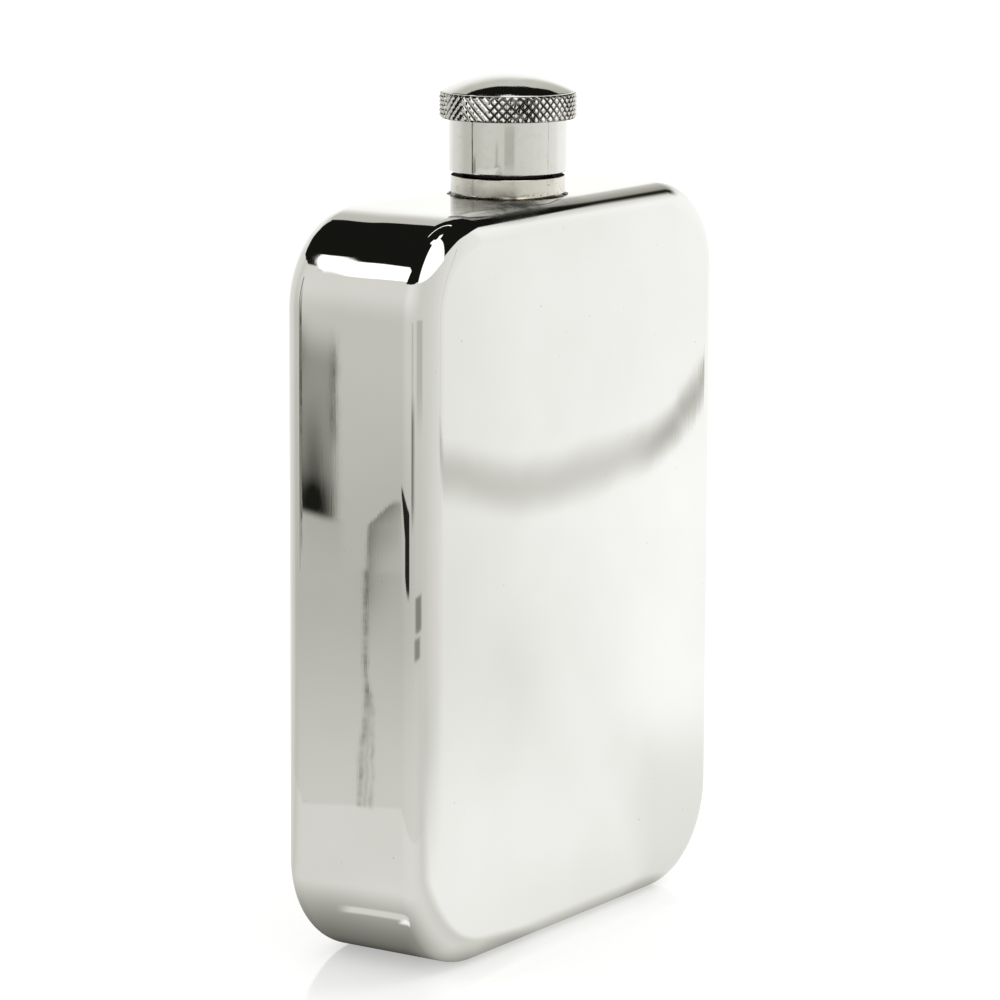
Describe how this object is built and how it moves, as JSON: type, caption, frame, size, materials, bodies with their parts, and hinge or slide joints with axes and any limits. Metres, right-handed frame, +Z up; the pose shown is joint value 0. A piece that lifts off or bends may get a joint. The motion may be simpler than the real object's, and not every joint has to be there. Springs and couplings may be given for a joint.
{
  "type": "hip flask",
  "caption": "Slim rectangular hip flask with softly rounded edges, a flat base and a domed screw cap with a knurled grip ring.",
  "frame": {"origin": "middle of the flat base, at the bottom of the flask's bounding box", "axes": "+Z up along the neck; X across the broad faces; the front face is towards -Y and the back face towards +Y"},
  "size_m": [0.0774, 0.0252, 0.1231],
  "materials": {
    "polished_shell": "polished",
    "polished_band": "polished",
    "polished_cap": "polished",
    "knurled_grip": "satin",
    "neck_metal": "satin",
    "collar_metal": "polished",
    "tin_solder": "satin",
    "seal": "matte"
  },
  "bodies": {
    "flask": {"front_shell": "polished_shell", "back_shell": "polished_shell", "side_band": "polished_band", "front_seam_solder": "tin_solder", "back_seam_solder": "tin_solder", "neck_tube": "neck_metal", "neck_collar": "collar_metal", "collar_solder": "tin_solder"},
    "seal": {"seal_washer": "seal"},
    "cap": {"thread_liner": "neck_metal", "cap_skirt": "polished_cap", "knurled_ring": "knurled_grip", "cap_dome": "polished_cap"}
  },
  "joints": [
    {"name": "cap_lift", "type": "slide", "parent": "flask", "child": "seal", "axis": [0, 0, 1], "range_m": [0, 0.0151]},
    {"name": "cap_turn", "type": "hinge", "parent": "seal", "child": "cap", "pos_m": [0, 0, 0.118], "axis": [0, 0, 1], "range_deg": [0, 2160]}
  ],
  "couplings": [
    {"joint": "cap_lift", "follows": "cap_turn", "m_per_rad": 0.00039789}
  ]
}
